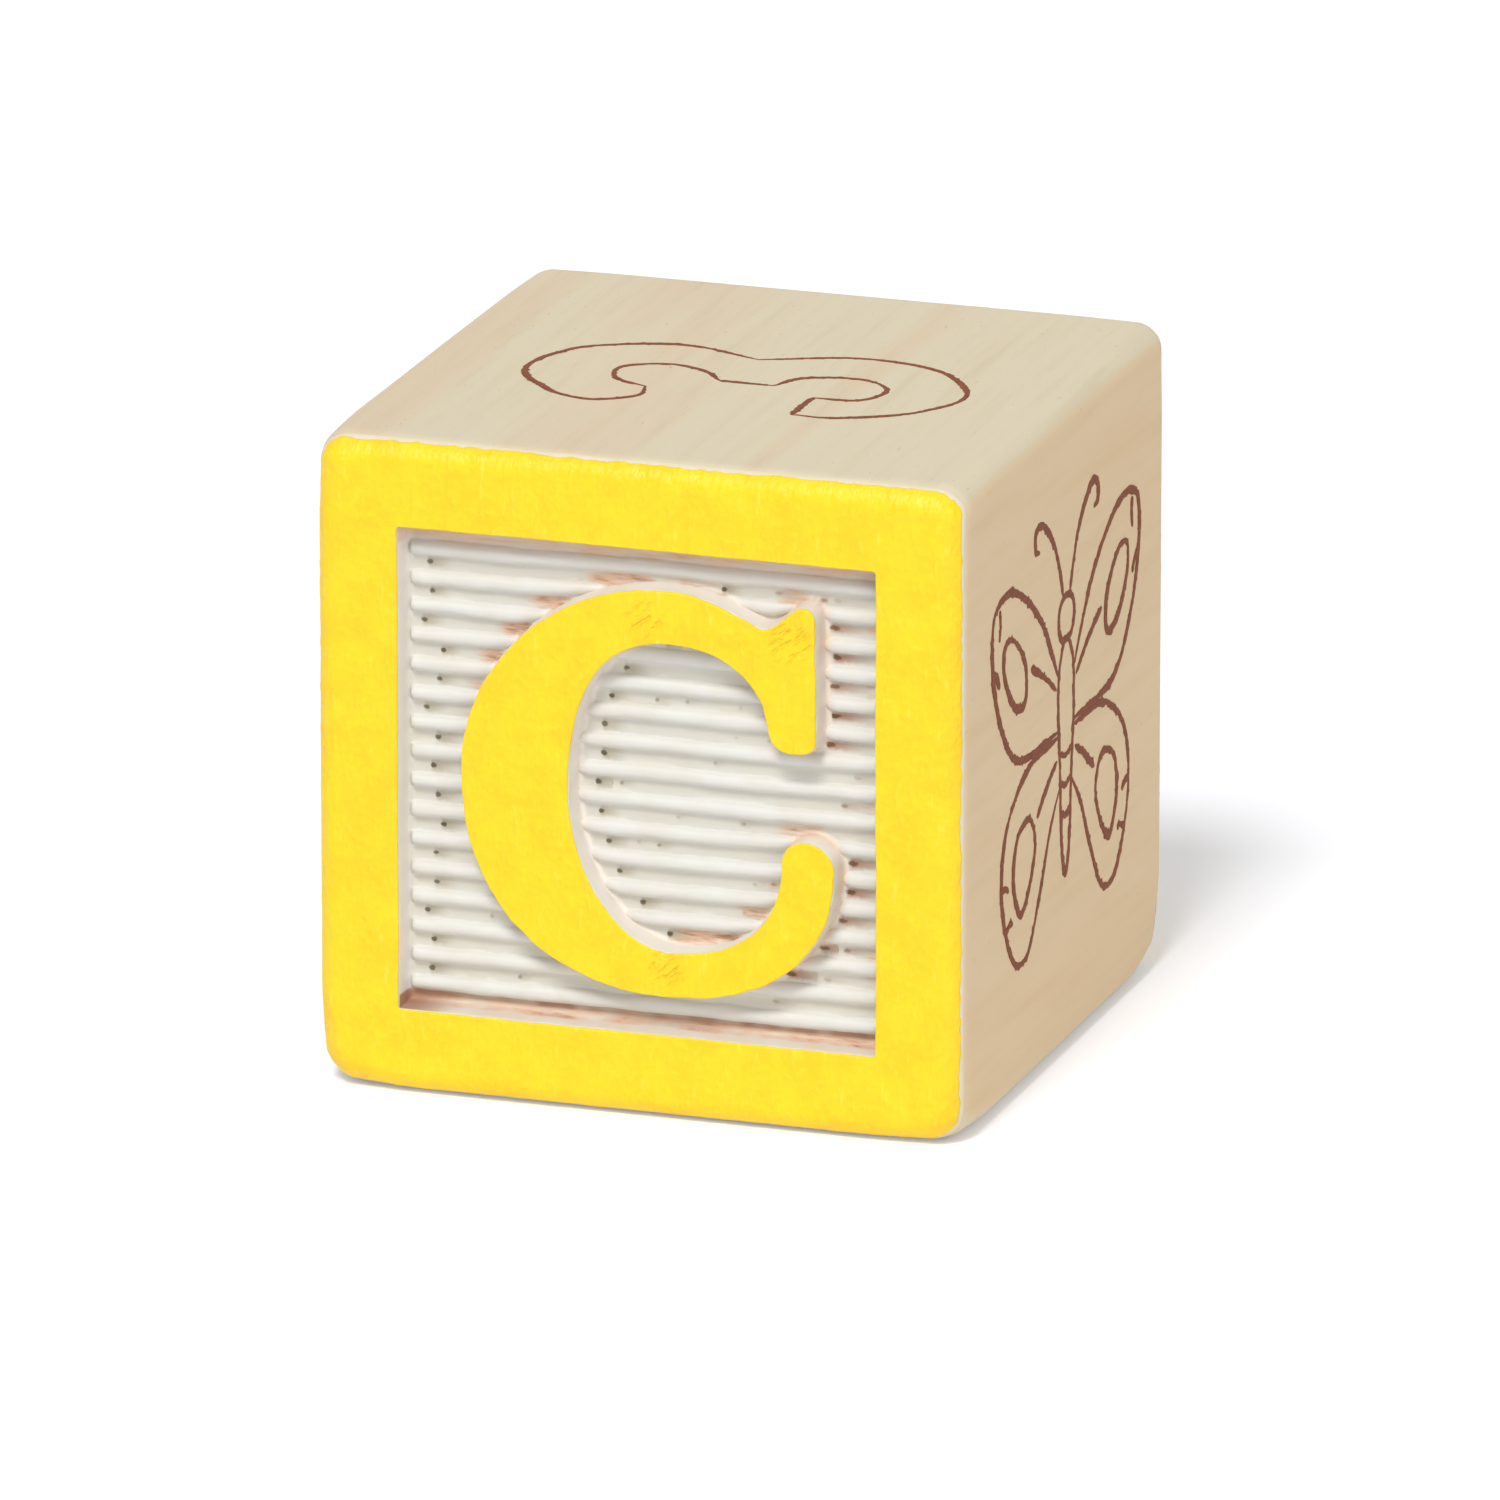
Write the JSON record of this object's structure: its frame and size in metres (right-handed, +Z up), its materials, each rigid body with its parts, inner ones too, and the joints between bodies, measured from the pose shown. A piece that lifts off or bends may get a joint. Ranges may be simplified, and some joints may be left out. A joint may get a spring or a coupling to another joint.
{
  "type": "alphabet block",
  "caption": "Wooden toy cube with a raised painted letter in a ribbed panel on its front and back, and plain printed sides, for stacking and spelling.",
  "frame": {"origin": "centre of the base that the block rests on", "axes": "+Z up, the front pressed panel faces -Y, and +X is to the right of someone who reads the front letter"},
  "size_m": [0.0254, 0.0254, 0.0254],
  "materials": {
    "wood": "bare, sanded, pale fine-grained wood",
    "white_paint": "matt white ground paint",
    "yellow_paint": "satin yellow paint, slightly mottled",
    "brown_ink": "thin reddish-brown printing ink"
  },
  "bodies": {
    "root": {"wood_block": "wood", "front_ground_coat": "white_paint", "front_frame_coat": "yellow_paint", "front_letter_coat": "yellow_paint", "back_ground_coat": "white_paint", "back_frame_coat": "yellow_paint", "back_letter_coat": "yellow_paint"}
  },
  "joints": []
}
